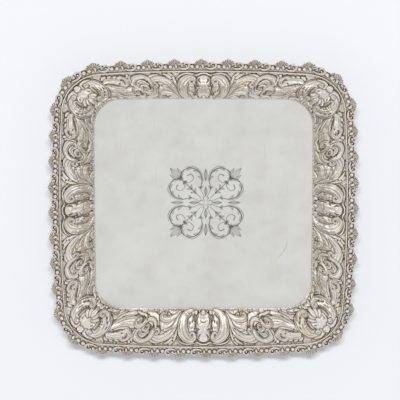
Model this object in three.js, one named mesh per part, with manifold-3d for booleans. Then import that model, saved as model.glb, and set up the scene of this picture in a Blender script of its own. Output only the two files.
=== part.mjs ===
// A square silver salver: one raised and chased sheet, a cast shell-and-bead border soldered on in
// four lengths, and four cast feet. Millimetres, +Z up. The origin is on the table under the centre,
// and +Y is the side that is at the top when the engraving reads upright.
import * as THREE from "three";
import { ParametricGeometry } from "three/addons/geometries/ParametricGeometry.js";
import { mergeVertices } from "three/addons/utils/BufferGeometryUtils.js";
import Module from "manifold-3d";

const wasm = await Module();
wasm.setup();

// ---------------------------------------------------------------- driving dimensions
// The flat panel and the rim, each a square with bowed sides and round corners.
const PANEL_HALF = 98.2; // middle of the panel's edge from the centre
const PANEL_BOW = 1.0; // how far each side swells
const PANEL_CORNER = 24;
const RIM_WIDTH = 30.4; // seen from above, from the panel to the border
const RIM_RISE = 19;
const SEAM_HALF = PANEL_HALF + RIM_WIDTH; // where the rim meets the cast border
const SEAM_BOW = 5.6;
const SEAM_CORNER = 36;
const SHEET = 1.0; // gauge of the sheet

// The cast border lies on a level flange that runs on outwards from the rim.
const FLANGE_WIDTH = 6;
const SOLDER = 0.1; // solder between two pieces
const WEB = 1.6; // thickness of the casting's ground
const REPEATS_PER_SIDE = 10; // nine along each side, and one on each corner
const REPEAT_OFFSET = 2; // the shells stand this far anticlockwise of the sides' middles
const FILLET_WIDTH = 1.4; // the plain moulding along the casting's inner edge
const FILLET_HEIGHT = 2.4;
const GROUND_REACH = 7.6; // how far the ground stands out past the seam, between the shells
const SHELL_REACH = 11.4;
const SHELL_SHARE = 0.5; // of a repeat that the shell takes
const BEAD_RADIUS = 1.75;
const BEAD_REACH = 4.4; // bead centres from the seam
const JOINT = 0.1; // left for solder between two lengths of border

// The feet.
const FOOT_HEIGHT = 12;
const FOOT_INSET = 21; // of each foot's middle from the panel's corner
const FOOT_WIDTH = 6;
const PAD_BACK = 9; // how far the pad under the panel reaches towards the salver's middle
const PAD_FRONT = 5; // and towards its corner
const PAD_THICKNESS = 1.6;
const KNEE_REACH = 9; // of the knee's curve towards the corner
const ANKLE_HALF = 2.75; // half the ankle's thickness
const FOOT_SHELL_THICKNESS = 2.6; // of the shell on the knee, each way from its middle
const FOOT_SHELL_HALF = 7;
const FOOT_SHELL_RISE = 3.6;
const SOLE_RADIUS = 4;
const SOLE_HEIGHT = 1.2;

// Fineness of the faceting.
const STEPS_AROUND = 96;
const STEPS_PER_REPEAT = 8;
const BOSS_SIDES = 6;
const SOLE_SIDES = 14;

const SIDES = 4;
const REPEATS = SIDES * REPEATS_PER_SIDE;
const PANEL_UNDERSIDE = FOOT_HEIGHT + SOLDER;
const PANEL_TOP = PANEL_UNDERSIDE + SHEET;
const FLANGE_TOP = PANEL_TOP + RIM_RISE;
const CASTING_BOTTOM = FLANGE_TOP + SOLDER;

// ---------------------------------------------------------------- materials
function silver(colour, roughness) {
  return new THREE.MeshStandardMaterial({ color: colour, roughness, metalness: 1 });
}
const sheetSilver = silver(0xd8d6d0, 0.35);
const castSilver = silver(0xc9c3b8, 0.42);

// ---------------------------------------------------------------- outlines
// A square with sides that are arcs of a large circle and corners that are arcs of a small one,
// tangent to each other. Its point at a share of the way round starts from the middle of the +X
// side and goes anticlockwise.
function outline(half, bow, corner) {
  const sideRadius = (half * half + bow * bow) / (2 * bow);
  const sideCentre = half - sideRadius;
  const reach = sideRadius - corner;
  const cornerCentre = (sideCentre + Math.sqrt(2 * reach * reach - sideCentre * sideCentre)) / 2;
  const turn = Math.atan2(cornerCentre, cornerCentre - sideCentre);
  const sideLength = sideRadius * turn;
  const halfLength = sideLength + corner * (Math.PI / 4 - turn);

  function at(share) {
    const side = Math.round(share * SIDES);
    const along = (share * SIDES - side) * 2 * halfLength;
    const run = Math.abs(along);
    const onSide = run <= sideLength;
    const angle = onSide ? run / sideRadius : turn + (run - sideLength) / corner;
    const radius = onSide ? sideRadius : corner;
    const sign = along < 0 ? -1 : 1;
    const point = new THREE.Vector2(
      (onSide ? sideCentre : cornerCentre) + radius * Math.cos(angle),
      sign * ((onSide ? 0 : cornerCentre) + radius * Math.sin(angle)),
    );
    const normal = new THREE.Vector2(Math.cos(angle), sign * Math.sin(angle));
    const middle = new THREE.Vector2(0, 0);
    const quarterTurns = (side * Math.PI) / 2;
    return {
      point: point.rotateAround(middle, quarterTurns),
      normal: normal.rotateAround(middle, quarterTurns),
    };
  }
  return { at, length: 2 * SIDES * halfLength };
}
const panelEdge = outline(PANEL_HALF, PANEL_BOW, PANEL_CORNER);
const seam = outline(SEAM_HALF, SEAM_BOW, SEAM_CORNER);
const pitch = 1 / REPEATS; // one repeat of the border, as a share of the way round
const repeat = seam.length * pitch; // and its length along the seam

function beyondSeam(share, reach) {
  const { point, normal } = seam.at(share);
  return point.addScaledVector(normal, reach);
}

// ---------------------------------------------------------------- solids
function solid(geometry) {
  const bare = geometry.index ? geometry.toNonIndexed() : geometry.clone();
  bare.deleteAttribute("normal");
  bare.deleteAttribute("uv");
  const merged = mergeVertices(bare, 1e-4);
  return new wasm.Manifold(
    new wasm.Mesh({
      numProp: 3,
      vertProperties: new Float32Array(merged.attributes.position.array),
      triVerts: new Uint32Array(merged.index.array),
    }),
  );
}

function joined(geometries) {
  const whole = geometries.map(solid).reduce((sum, piece) => sum.add(piece));
  const { vertProperties, triVerts, numProp } = whole.getMesh();
  const points = new Float32Array((vertProperties.length / numProp) * 3);
  for (let i = 0; i < points.length / 3; i++) {
    points.set(vertProperties.subarray(i * numProp, i * numProp + 3), i * 3);
  }
  const geometry = new THREE.BufferGeometry();
  geometry.setAttribute("position", new THREE.BufferAttribute(points, 3));
  geometry.setIndex(new THREE.BufferAttribute(triVerts, 1));
  geometry.computeVertexNormals();
  return geometry;
}

function piece(name, geometry, material) {
  const mesh = new THREE.Mesh(geometry, material);
  mesh.name = name;
  return mesh;
}

// ---------------------------------------------------------------- the sheet
// The rim's section climbs steeply out of the panel and levels off at the border.
const rimHeight = (share) => RIM_RISE * Math.sin((share * Math.PI) / 2);
const rimSlope = (share) => ((RIM_RISE * Math.PI) / 2 / RIM_WIDTH) * Math.cos((share * Math.PI) / 2);

function sheetSection() {
  const rim = [0.12, 0.3, 0.5, 0.75, 1];
  const panel = (scale, z) => (share) => ({ point: panelEdge.at(share).point.multiplyScalar(scale), z });
  const onRim = (w, z) => (share) => ({
    point: panelEdge.at(share).point.lerp(seam.at(share).point, w),
    z,
  });
  const flange = (z) => (share) => ({ point: beyondSeam(share, FLANGE_WIDTH), z });
  const topHeight = (w) => PANEL_TOP + rimHeight(w);
  const underHeight = (w) => topHeight(w) - SHEET * Math.hypot(1, rimSlope(w));
  return [
    panel(0, PANEL_TOP),
    panel(1, PANEL_TOP),
    ...rim.map((w) => onRim(w, topHeight(w))),
    flange(FLANGE_TOP),
    flange(FLANGE_TOP - SHEET),
    ...rim.toReversed().map((w) => onRim(w, underHeight(w))),
    panel(1, PANEL_UNDERSIDE),
    panel(0, PANEL_UNDERSIDE),
  ];
}

function salverSheet() {
  const stations = sheetSection();
  const last = stations.length - 1;
  const surface = (u, v, target) => {
    const { point, z } = stations[Math.round((1 - v) * last)](u % 1);
    target.set(point.x, point.y, z);
  };
  return joined([new ParametricGeometry(surface, STEPS_AROUND, last)]);
}

// ---------------------------------------------------------------- the cast border
// One repeat runs anticlockwise from 0 to 1, with its shell in the middle. Seen from the salver's
// middle it holds, from right to left, a scroll, the shell over a long bead, and two round beads.
const SHELL_MIDDLE = 0.5;
const SCROLL_MIDDLE = 0.15;
const bead = { reach: BEAD_REACH, along: BEAD_RADIUS, across: BEAD_RADIUS, height: BEAD_RADIUS };
const BOSSES = [
  { ...bead, phase: 0.65 },
  { ...bead, phase: 0.84 },
  { ...bead, phase: 0.44, along: 1.2, across: 2.2 },
  { phase: SHELL_MIDDLE, reach: SHELL_REACH - 2.6, along: 0.19 * repeat, across: 2.3, height: 1.5 },
  { phase: SCROLL_MIDDLE, reach: GROUND_REACH - 2.4, along: 0.13 * repeat, across: 2.2, height: 1.6 },
];

function outerReach(phase) {
  const fromShell = (2 * (phase - SHELL_MIDDLE)) / SHELL_SHARE;
  const shell = Math.abs(fromShell) < 1 ? Math.cos((fromShell * Math.PI) / 2) ** 1.2 : 0;
  const scroll = Math.max(0, Math.cos((phase - SCROLL_MIDDLE) * 2 * Math.PI)) ** 2;
  return GROUND_REACH + (SHELL_REACH - GROUND_REACH) * shell + scroll * 0.9;
}

// A strip of even thickness between two reaches from the seam, from one share of the way round to
// another.
function strip({ start, end, steps, inner, outer, thickness }) {
  const shares = Array.from({ length: steps + 1 }, (_, i) => start + ((end - start) * i) / steps);
  const innerEdge = shares.map((share) => beyondSeam(share, inner));
  const outerEdge = shares.map((share) => beyondSeam(share, outer(share)));
  const shape = new THREE.Shape([...innerEdge.toReversed(), ...outerEdge]);
  const geometry = new THREE.ExtrudeGeometry(shape, { depth: thickness, bevelEnabled: false });
  return geometry.translate(0, 0, CASTING_BOTTOM);
}

// A boss on the casting's ground: a dome stretched along the border, across it and upwards. Its
// foot is sunk to the middle of the ground.
const DOME = [
  [0, 0],
  [1, 0],
  [0.75, 0.7],
  [0, 1],
].map(([x, y]) => new THREE.Vector2(x, y));

function boss({ at, reach, along, across, height }) {
  const { normal } = seam.at(at);
  const place = beyondSeam(at, reach);
  return new THREE.LatheGeometry(DOME, BOSS_SIDES)
    .rotateX(Math.PI / 2)
    .scale(across, along, height + WEB / 2)
    .rotateZ(Math.atan2(normal.y, normal.x))
    .translate(place.x, place.y, CASTING_BOTTOM + WEB / 2);
}

// One quarter of the border: ten repeats, with its ends half a repeat from the middles of two sides.
function borderCasting() {
  const from = REPEAT_OFFSET / seam.length - pitch / 2;
  const gap = JOINT / seam.length / 2;
  const start = from + gap;
  const end = from + REPEATS_PER_SIDE * pitch - gap;
  const steps = REPEATS_PER_SIDE * STEPS_PER_REPEAT;
  const phaseAt = (share) => (((share - from) / pitch) % 1 + 1) % 1;
  const span = { start, end };
  const scalloped = (share) => outerReach(phaseAt(share));
  const ground = strip({ ...span, steps, inner: 0, outer: scalloped, thickness: WEB });
  const half = FILLET_WIDTH / 2;
  const filletSection = { inner: -half, outer: () => half, thickness: FILLET_HEIGHT };
  const fillet = strip({ ...span, steps: steps / 2, ...filletSection });
  const bosses = [];
  for (let i = 0; i < REPEATS_PER_SIDE; i++) {
    const at = (phase) => from + (i + phase) * pitch;
    for (const { phase, ...size } of BOSSES) {
      bosses.push(boss({ at: at(phase), ...size }));
    }
  }
  return joined([ground, fillet, ...bosses]);
}

// ---------------------------------------------------------------- the feet
// A scroll foot seen from its side: a pad under the panel, a knee that swells towards the corner,
// and an ankle that runs down to the sole.
function footSide() {
  const ankleTop = FOOT_HEIGHT / 2;
  const shape = new THREE.Shape();
  shape.moveTo(-PAD_BACK, FOOT_HEIGHT);
  shape.lineTo(PAD_FRONT, FOOT_HEIGHT);
  shape.quadraticCurveTo(KNEE_REACH, FOOT_HEIGHT - PAD_THICKNESS, PAD_FRONT, ankleTop);
  shape.quadraticCurveTo(ANKLE_HALF / 2, ankleTop / 2, ANKLE_HALF, SOLE_HEIGHT);
  shape.lineTo(-ANKLE_HALF, SOLE_HEIGHT);
  shape.quadraticCurveTo(-ANKLE_HALF, ankleTop, -PAD_BACK, FOOT_HEIGHT - PAD_THICKNESS);
  shape.closePath();
  return shape;
}

function foot() {
  const section = { depth: FOOT_WIDTH, bevelEnabled: false, curveSegments: 5 };
  const leg = new THREE.ExtrudeGeometry(footSide(), section)
    .translate(0, 0, -FOOT_WIDTH / 2)
    .rotateX(Math.PI / 2);
  const sole = new THREE.CylinderGeometry(SOLE_RADIUS, SOLE_RADIUS, SOLE_HEIGHT, SOLE_SIDES)
    .rotateX(Math.PI / 2)
    .translate(0, 0, SOLE_HEIGHT / 2);
  const shell = new THREE.SphereGeometry(1, 10, 6)
    .scale(FOOT_SHELL_THICKNESS, FOOT_SHELL_HALF, FOOT_SHELL_RISE)
    .translate(PAD_FRONT, 0, FOOT_HEIGHT - FOOT_SHELL_RISE - SOLDER);
  return joined([leg, sole, shell]);
}

// ---------------------------------------------------------------- the salver
const salver = new THREE.Group();
salver.add(piece("salver_sheet", salverSheet(), sheetSilver));

const castingNames = ["right_to_back", "back_to_left", "left_to_front", "front_to_right"];
const casting = borderCasting();
castingNames.forEach((name, quarter) => {
  const mesh = piece(`border_casting_${name}`, casting, castSilver);
  mesh.rotation.z = (quarter * Math.PI) / 2;
  salver.add(mesh);
});

const footNames = ["back_right", "back_left", "front_left", "front_right"];
const footShape = foot();
const footReach = panelEdge.at(1 / 8).point.length() - FOOT_INSET;
footNames.forEach((name, quarter) => {
  const angle = Math.PI / 4 + (quarter * Math.PI) / 2;
  const mesh = piece(`foot_${name}`, footShape, castSilver);
  mesh.position.set(footReach * Math.cos(angle), footReach * Math.sin(angle), 0);
  mesh.rotation.z = angle;
  salver.add(mesh);
});

export default salver;
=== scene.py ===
import math

import bmesh
import bpy
import numpy as np
from mathutils import Matrix, Vector


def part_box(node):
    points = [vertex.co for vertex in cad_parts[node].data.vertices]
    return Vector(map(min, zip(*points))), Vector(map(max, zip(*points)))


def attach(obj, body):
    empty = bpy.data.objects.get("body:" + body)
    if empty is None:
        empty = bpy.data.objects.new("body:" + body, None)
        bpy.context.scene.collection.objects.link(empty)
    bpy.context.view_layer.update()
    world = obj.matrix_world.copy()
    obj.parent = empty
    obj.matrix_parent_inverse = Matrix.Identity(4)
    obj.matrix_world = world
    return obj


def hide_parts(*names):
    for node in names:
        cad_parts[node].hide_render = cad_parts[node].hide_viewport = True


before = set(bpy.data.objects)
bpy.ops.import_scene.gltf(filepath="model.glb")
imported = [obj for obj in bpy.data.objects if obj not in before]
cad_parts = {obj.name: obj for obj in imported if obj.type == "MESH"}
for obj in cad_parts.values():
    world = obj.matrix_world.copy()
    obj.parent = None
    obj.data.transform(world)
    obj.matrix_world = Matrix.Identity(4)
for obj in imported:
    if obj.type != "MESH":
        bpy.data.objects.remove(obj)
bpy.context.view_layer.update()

MM = 0.001

# ---------------------------------------------------------------- the table, the light and the camera
# The salver lies face up on a plain pale light table and is looked down on from a little beyond its
# far side. The light is soft and even: a pale room with a broad low panel on each of the four sides.
# One more, high up beyond the far side, shines on the table alone and gives the salver its shadow.
VIEW_TILT = math.radians(15.8)  # of the line of sight from the upright, towards the far side
VIEW_DISTANCE = 2.53
VIEW_LENS = 252
VIEW_CENTRE = Vector((-3.15 * MM, 4.15 * MM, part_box("salver_sheet")[0][2]))
TABLE_SIZE = 6.0
TABLE_COLOUR = (0.203, 0.207, 0.217, 1)
TABLE_ROUGHNESS = 0.8
TABLE_GLOW = (0.276, 0.276, 0.277, 1)
ROOM_HORIZON = (0.30, 0.30, 0.29, 1)
ROOM_CEILING = (0.90, 0.91, 0.92, 1)

bpy.context.scene.view_settings.view_transform = "Standard"
eye = bpy.data.objects.new("camera", bpy.data.cameras.new("camera"))
eye.data.lens = VIEW_LENS
eye.data.clip_end = 20
sight = Vector((0, math.sin(VIEW_TILT), math.cos(VIEW_TILT)))
eye.location = VIEW_CENTRE + VIEW_DISTANCE * sight
eye.rotation_euler = (-VIEW_TILT, 0, 0)
bpy.context.collection.objects.link(eye)
bpy.context.scene.camera = eye

room = bpy.data.worlds.new("room")
room.use_nodes = True
up = room.node_tree.nodes.new("ShaderNodeTexCoord")
axes = room.node_tree.nodes.new("ShaderNodeSeparateXYZ")
rise = room.node_tree.nodes.new("ShaderNodeValToRGB")
rise.color_ramp.elements[0].color = ROOM_HORIZON
rise.color_ramp.elements[1].color = ROOM_CEILING
backdrop = room.node_tree.nodes["Background"]
room.node_tree.links.new(up.outputs["Generated"], axes.inputs["Vector"])
room.node_tree.links.new(axes.outputs["Z"], rise.inputs["Fac"])
room.node_tree.links.new(rise.outputs["Color"], backdrop.inputs["Color"])
bpy.context.scene.world = room


def light_panel(name, place, size, watts):
    """A broad soft light at a place, turned to shine at the salver's middle."""
    light = bpy.data.lights.new(name, "AREA")
    light.shape = "RECTANGLE"
    light.size, light.size_y = size
    light.energy = watts
    panel = bpy.data.objects.new(name, light)
    panel.location = place
    panel.rotation_euler = (-Vector(place)).to_track_quat("-Z", "Y").to_euler()
    bpy.context.collection.objects.link(panel)
    return panel


light_panel("far_light", place=(-0.3, 2.2, 1.0), size=(1.8, 1.0), watts=6)
light_panel("near_light", place=(0.2, -1.9, 1.1), size=(1.8, 1.0), watts=5.5)
light_panel("left_light", place=(-1.9, 0.2, 1.3), size=(1.2, 1.6), watts=6)
light_panel("right_light", place=(1.9, 0.0, 1.4), size=(1.2, 1.6), watts=4.5)

bm = bmesh.new()
bmesh.ops.create_grid(bm, x_segments=1, y_segments=1, size=TABLE_SIZE / 2)
table_mesh = bpy.data.meshes.new("table")
bm.to_mesh(table_mesh)
bm.free()
table = bpy.data.objects.new("table", table_mesh)
bpy.context.collection.objects.link(table)
table_paint = bpy.data.materials.new("table_paint")
table_paint.use_nodes = True
table_shader = table_paint.node_tree.nodes["Principled BSDF"]
table_shader.inputs["Base Color"].default_value = TABLE_COLOUR
table_shader.inputs["Roughness"].default_value = TABLE_ROUGHNESS
table_shader.inputs["Emission Color"].default_value = TABLE_GLOW
table_shader.inputs["Emission Strength"].default_value = 1.0
table_mesh.materials.append(table_paint)

table_only = bpy.data.collections.new("table_only")
table_only.objects.link(table)
table_light = light_panel("table_light", place=(0, 2.8, 6.0), size=(1.7, 0.4), watts=950)
table_light.light_linking.receiver_collection = table_only

# ---------------------------------------------------------------- the rim
# The rim and the panel are one sheet of sterling silver, raised by hammering. The rim climbs steeply
# from the panel and levels off into the flange that carries the cast border. Its ornament is chased:
# raised from the back with punches, then sharpened from the front.

# The silver is left satin by long polishing. Brown-grey tarnish stays in the hollows that a cloth
# doesn't reach, and on the rim and the castings the deeper hollows are also darkened as painted shade:
# each piece carries how dark as an attribute on its mesh, from 0 to 1.
CLOUD_SCALE, CLOUD_SHARE = 45, 0.22  # clouds to a metre, and how far they sway the tarnish
STAIN_SCALE, STAIN_START, STAIN_FULL = 70, 0.45, 0.7  # yellow stains, and the noise they grow in
RUB_LEAN, RUB_WIDTH, RUB_LENGTH = math.radians(-34), 1.1 * MM, 26 * MM
RUB_START, RUB_FULL, RUB_SHADE = 0.68, 0.76, 0.1
SCRATCH_CENTRE, SCRATCH_RADIUS = (52.6 * MM, -32 * MM, 13.1 * MM), 23.3 * MM
SCRATCH_MIDDLE, SCRATCH_HALF_LENGTH = (73.2 * MM, -43 * MM, 13.1 * MM), 13 * MM
SCRATCH_HALF_WIDTH, SCRATCH_SHADE = 0.22 * MM, 0.45
# Polishing leaves fine lines: their lean, their width as a share of their length, and their strength.
POLISH_LEAN, POLISH_NARROWNESS, POLISH_STRENGTH = math.radians(28), 0.06, 0.5


def add_node(material, kind, inputs, **settings):
    """Adds a node to a material. Each input is a value, or the output that is linked to it."""
    node = material.node_tree.nodes.new(kind)
    for setting, value in settings.items():
        setattr(node, setting, value)
    for socket, value in inputs.items():
        if isinstance(value, bpy.types.NodeSocket):
            material.node_tree.links.new(value, node.inputs[socket])
        else:
            node.inputs[socket].default_value = value
    return node


def clouds(material, place, scale, detail):
    """Soft noise over a piece, about a half on average."""
    inputs = {"Vector": place, "Scale": scale, "Detail": detail}
    return add_node(material, "ShaderNodeTexNoise", inputs).outputs["Fac"]


def streaks(material, place, lean, scale, detail):
    """Clouds drawn out by a scale for each axis, after the place is turned by the lean."""
    inputs = {"Vector": place, "Rotation": (0, 0, lean), "Scale": scale}
    return clouds(material, add_node(material, "ShaderNodeMapping", inputs).outputs["Vector"], 1, detail)


def ramp(material, value, start, full, low=0.0, high=1.0):
    """Goes from low to high while the value goes from start to full."""
    inputs = {"Value": value, "From Min": start, "From Max": full, "To Min": low, "To Max": high}
    return add_node(material, "ShaderNodeMapRange", inputs).outputs["Result"]


def worked_out(material, operation, *values):
    """One step of arithmetic, on numbers and outputs."""
    inputs = dict(enumerate(values))
    return add_node(material, "ShaderNodeMath", inputs, operation=operation).outputs["Value"]


def distance_from(material, place, centre):
    inputs = {0: place, 1: centre}
    return add_node(material, "ShaderNodeVectorMath", inputs, operation="DISTANCE").outputs["Value"]


def mixed(material, share, first, second):
    """A colour between two, each a colour or an output."""
    inputs = {"Factor": share, "A": first, "B": second}
    return add_node(material, "ShaderNodeMix", inputs, data_type="RGBA").outputs["Result"]


def silver(name, clean, yellowed, tarnished_and_shaded, roughness, dull, polish_width, polish_depth):
    """Silver that yellows in patches, darkens and dulls with the mesh's tarnish and painted shade, and is
    scratched.
    """
    material = bpy.data.materials.new(name)
    material.use_nodes = True
    place = add_node(material, "ShaderNodeTexCoord", {}).outputs["Object"]
    # How dark the mesh is: tarnish, and on the rim and the castings painted shade in the hollows too.
    tarnish_and_shade = add_node(material, "ShaderNodeAttribute", {}, attribute_name="tarnish_and_shade").outputs["Fac"]

    cloud = clouds(material, place, CLOUD_SCALE, 4)
    swayed = worked_out(material, "MULTIPLY_ADD", cloud, CLOUD_SHARE, tarnish_and_shade)
    amount = ramp(material, swayed, CLOUD_SHARE / 2, 1 + CLOUD_SHARE / 2)
    yellowing = ramp(material, clouds(material, place, STAIN_SCALE, 2), STAIN_START, STAIN_FULL)
    metal = mixed(material, yellowing, (*clean, 1), (*yellowed, 1))
    colour = mixed(material, amount, metal, (*tarnished_and_shaded, 1))

    # Rubs are faint streaks all over. The one long scratch is an arc that fades towards its ends.
    rub_scale = (1 / RUB_WIDTH, 1 / RUB_LENGTH, 1 / RUB_LENGTH)
    rubs = streaks(material, place, RUB_LEAN, rub_scale, 2)
    rubbed = ramp(material, rubs, RUB_START, RUB_FULL, high=RUB_SHADE)
    from_centre = distance_from(material, place, SCRATCH_CENTRE)
    on_arc = worked_out(material, "COMPARE", from_centre, SCRATCH_RADIUS, SCRATCH_HALF_WIDTH)
    from_middle = distance_from(material, place, SCRATCH_MIDDLE)
    fade = ramp(material, from_middle, SCRATCH_HALF_LENGTH, SCRATCH_HALF_LENGTH / 2, high=SCRATCH_SHADE)
    marks = worked_out(material, "MULTIPLY_ADD", on_arc, fade, rubbed)

    polish_scale = (1 / polish_width, POLISH_NARROWNESS / polish_width, 1 / polish_width)
    polish = streaks(material, place, POLISH_LEAN, polish_scale, 3)
    bump_inputs = {"Strength": POLISH_STRENGTH, "Distance": polish_depth, "Height": polish}
    bump = add_node(material, "ShaderNodeBump", bump_inputs)

    shader = material.node_tree.nodes["Principled BSDF"]
    shader.inputs["Metallic"].default_value = 1.0
    link = material.node_tree.links.new
    link(mixed(material, marks, colour, (*tarnished_and_shaded, 1)), shader.inputs["Base Color"])
    link(ramp(material, amount, 0, 1, roughness, dull), shader.inputs["Roughness"])
    link(bump.outputs["Normal"], shader.inputs["Normal"])
    return material


WORN, WORN_YELLOWED = (0.85, 0.80, 0.745), (0.79, 0.72, 0.61)
# The brown that tarnish and the painted shade in the hollows darken the silver towards.
BROWN_TARNISH_AND_SHADE = (0.16, 0.118, 0.08)
chased_silver = silver("chased_silver", WORN, WORN_YELLOWED, BROWN_TARNISH_AND_SHADE, 0.26, 0.6, 0.3 * MM, 0.006 * MM)

# The sheet's form: a flat square panel with bowed sides and round corners, the rim, and the flange.
# All sizes from here on are in millimetres.
SHEET_LOW, SHEET_HIGH = (np.array(corner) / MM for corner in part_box("salver_sheet"))
FLANGE_WIDTH = 6.0
RIM_WIDTH = 30.4
SHEET_GAUGE = 1.0
SEAM_HALF = SHEET_HIGH[0] - FLANGE_WIDTH
SEAM_BOW, SEAM_CORNER = 5.6, 36.0
PANEL_HALF = SEAM_HALF - RIM_WIDTH
PANEL_BOW, PANEL_CORNER = 1.0, 24.0
PANEL_TOP = SHEET_LOW[2] + SHEET_GAUGE
RIM_RISE = SHEET_HIGH[2] - PANEL_TOP


def outline(half, bow, corner):
    """The right-hand side of a square with bowed sides and round corners, from diagonal to diagonal.

    Returns the side's half length, and a function from the distance along it, from its middle, to
    the points there and the directions that face outwards.
    """
    side_radius = (half**2 + bow**2) / (2 * bow)
    side_centre = half - side_radius
    corner_centre = (side_centre + math.sqrt(2 * (side_radius - corner) ** 2 - side_centre**2)) / 2
    turn = math.atan2(corner_centre, corner_centre - side_centre)
    side_length = side_radius * turn

    def at(along):
        run = np.abs(along)
        on_side = run <= side_length
        angle = np.where(on_side, run / side_radius, turn + (run - side_length) / corner)
        radius = np.where(on_side, side_radius, corner)
        way = np.where(along < 0, -1.0, 1.0)
        facing = np.stack([np.cos(angle), way * np.sin(angle)], axis=-1)
        x = np.where(on_side, side_centre, corner_centre) + radius * np.cos(angle)
        y = way * (np.where(on_side, 0.0, corner_centre) + radius * np.sin(angle))
        return np.stack([x, y], axis=-1), facing

    return side_length + corner * (math.pi / 4 - turn), at


seam_length, seam_at = outline(SEAM_HALF, SEAM_BOW, SEAM_CORNER)
panel_length, panel_at = outline(PANEL_HALF, PANEL_BOW, PANEL_CORNER)


def rim_surface(along, out):
    """Points on the sheet's upper face: out is 0 at the panel, 1 at the border's seam, and more on
    the flange."""
    inner, _ = panel_at(along * panel_length / seam_length)
    outer, facing = seam_at(along)
    share = np.minimum(out, 1.0)[..., None]
    beyond = np.maximum(out - 1.0, 0.0)[..., None] * RIM_WIDTH
    flat = inner + (outer - inner) * share + facing * beyond
    height = PANEL_TOP + RIM_RISE * np.sin(share * math.pi / 2)
    return np.concatenate([flat, height], axis=-1)


def rim_facing(along, out):
    """Unit directions that stand on the sheet's upper face."""
    step_along, step_out = 0.05, 0.002
    across = rim_surface(along + step_along, out) - rim_surface(along - step_along, out)
    upwards = rim_surface(along, out + step_out) - rim_surface(along, np.maximum(out - step_out, 0.0))
    normal = np.cross(upwards, across)
    return normal / np.linalg.norm(normal, axis=-1, keepdims=True)


# The ornament is first drawn flat: every leaf and scroll is a stroke with a swelling width, a rounded
# back that may be fluted, and a line chased round it.


def blank(length, depth, cell):
    """An empty drawing, in millimetres: its height, where strokes cover it, and its dark lines."""
    along = np.arange(round(length / cell) + 1) * cell
    across = np.arange(round(depth / cell) + 1) * cell
    layers = {layer: np.zeros((len(across), len(along))) for layer in ("height", "cover", "lines")}
    return {"cell": cell, "x": along, "y": across, **layers}


def smooth_line(points, steps=14):
    """A smooth line through given points."""
    p = np.array(points, float)
    p = np.vstack([2 * p[0] - p[1], p, 2 * p[-1] - p[-2]])
    t = np.linspace(0, 1, steps, endpoint=False)[:, None]
    pieces = []
    for a, b, c, d in zip(p, p[1:], p[2:], p[3:]):
        bend = (c - a) * t + (2 * a - 5 * b + 4 * c - d) * t**2 + (3 * b - a - 3 * c + d) * t**3
        pieces.append(b + bend / 2)
    return np.vstack([*pieces, p[-2]])


def spread(values, count):
    """Values given at even stations, filled in to a count."""
    values = np.atleast_1d(np.asarray(values, float))
    return np.interp(np.linspace(0, 1, count), np.linspace(0, 1, len(values)), values)


FLUTE_SHARPNESS = 4
EDGE_SHARE = 0.25  # of a stroke's height, which stands up sheer at its edge
LOBE_DEPTH = 0.2  # of a notched stroke's half width


def stroke(
    drawing, points, half, rise, flutes=0, flute=0.35, lobes=0, line=0.45, line_width=0.9, back=3.0
):
    """Lays a raised stroke on a drawing, over what is there.

    half is its half width and rise its height, at even stations along it. flutes are the hollows
    side by side along its back, flute their depth at even stations, and lobes the notches of its
    edges. line is the depth of the line chased round it. back is low for a round back and high for
    a flat one. A stroke whose rise is negative is cut into what is there.
    """
    path = smooth_line(points)
    half, rise = spread(half, len(path)), spread(rise, len(path))
    margin = half.max() + line_width + 0.5
    low = np.maximum((path.min(0) - margin) / drawing["cell"], 0).astype(int)
    high = np.maximum((path.max(0) + margin) / drawing["cell"] + 2, 0).astype(int)
    window = (slice(low[1], high[1]), slice(low[0], high[0]))
    x, y = np.meshgrid(drawing["x"][window[1]], drawing["y"][window[0]])
    if not x.size:
        return
    reach = np.full(x.shape, np.inf)
    side = np.zeros(x.shape)
    station = np.zeros(x.shape)
    for k, (start, step) in enumerate(zip(path, np.diff(path, axis=0))):
        rx, ry = x - start[0], y - start[1]
        u = np.clip((rx * step[0] + ry * step[1]) / (step @ step + 1e-12), 0, 1)
        width = np.maximum(half[k] + (half[k + 1] - half[k]) * u, 0.05)
        distance = np.hypot(rx - u * step[0], ry - u * step[1]) / width
        nearer = distance < reach
        reach = np.where(nearer, distance, reach)
        side = np.where(nearer, np.sign(step[0] * ry - step[1] * rx), side)
        station = np.where(nearer, k + u, station)
    stations = np.arange(len(path))
    width = np.interp(station, stations, half)
    height = np.interp(station, stations, rise)
    fluted = np.interp(station, stations, spread(flute, len(path)))
    if lobes:
        scallop = np.abs(np.cos(math.pi * lobes * station / stations[-1]))
        notched = 1 - LOBE_DEPTH + LOBE_DEPTH * scallop
        reach = reach / notched
        width = width * notched
    inside = reach < 1
    across = np.clip(reach, 0, 1) * side
    dome = np.sqrt(1 - np.abs(across) ** back)
    hollows = (0.5 - 0.5 * np.cos(math.pi * flutes * (across + 1))) ** FLUTE_SHARPNESS
    raised = height * (EDGE_SHARE + (1 - EDGE_SHARE) * dome * (1 - fluted * hollows))
    past = (reach - 1) * width
    chased = np.where(~inside & (past < line_width), 0.5 + 0.5 * np.cos(math.pi * past / line_width), 0)
    before, lines = drawing["height"][window], drawing["lines"][window]
    if rise.min() < 0:
        drawing["height"][window] = np.where(inside, before + raised, before)
        drawing["lines"][window] = np.where(inside, np.maximum(lines, dome), lines)
    else:
        drawing["height"][window] = np.where(inside, raised, before - line * chased)
        outside = np.maximum(lines, chased * (line > 0))
        drawing["lines"][window] = np.where(inside, 1.5 * fluted * hollows, outside)
    drawing["cover"][window] = np.where(inside, 1, drawing["cover"][window])


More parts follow.
